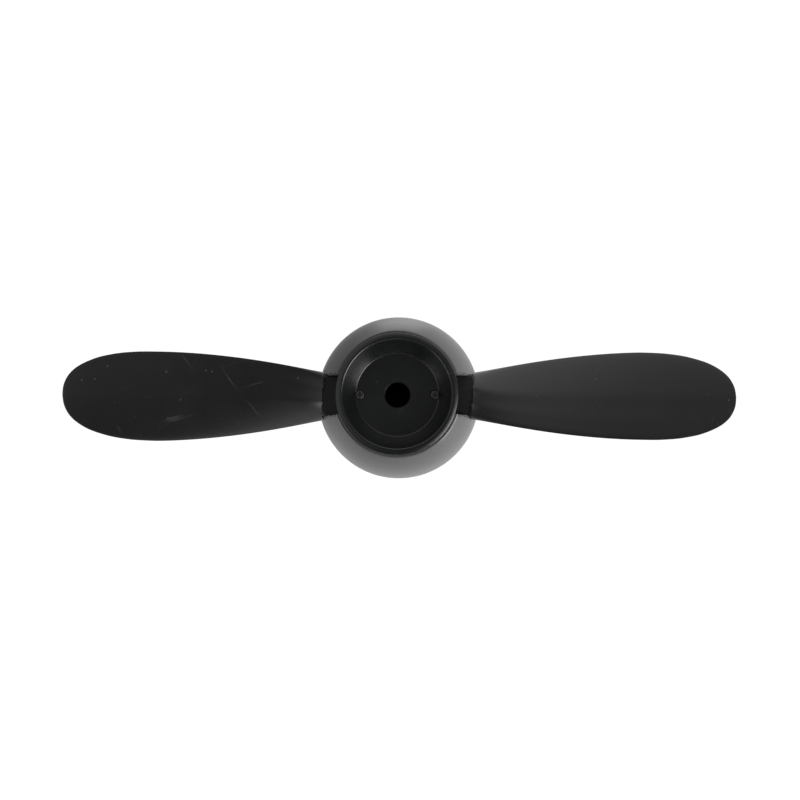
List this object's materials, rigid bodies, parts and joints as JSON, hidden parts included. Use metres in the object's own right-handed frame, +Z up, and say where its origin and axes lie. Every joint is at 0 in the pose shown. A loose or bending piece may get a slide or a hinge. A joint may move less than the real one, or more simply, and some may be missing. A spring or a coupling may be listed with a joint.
{
  "type": "model aeroplane propeller",
  "caption": "Two-blade propeller for a radio-controlled model, with a cupped hub, clamped blade roots and a round pull-off spinner.",
  "frame": {"origin": "on the spin axis, in the plane of the two blade shanks, inside the shaft bore", "axes": "+Y along the spin axis towards the spinner's nose, -Y towards the motor, +X along one blade, +Z up"},
  "size_m": [0.165, 0.0412, 0.04],
  "materials": {
    "hub_plastic": "satin moulded black plastic",
    "blade_plastic": "satin black plastic with faint scuffs",
    "spinner_plastic": "satin charcoal plastic",
    "black_steel": "black oxide"
  },
  "bodies": {
    "propeller": {"hub_rear": "hub_plastic", "hub_front": "hub_plastic", "blade_right": "blade_plastic", "blade_left": "blade_plastic", "blade_bolt_right": "black_steel", "blade_bolt_left": "black_steel", "blade_nut_right": "black_steel", "blade_nut_left": "black_steel", "clamp_screw_1": "black_steel", "clamp_screw_2": "black_steel", "clamp_screw_3": "black_steel", "clamp_screw_4": "black_steel"},
    "spinner": {"spinner_shell": "spinner_plastic"}
  },
  "joints": [
    {"name": "spinner_pull_off", "type": "slide", "parent": "propeller", "child": "spinner", "axis": [0, 1, 0], "range_m": [0, 0.03]}
  ]
}
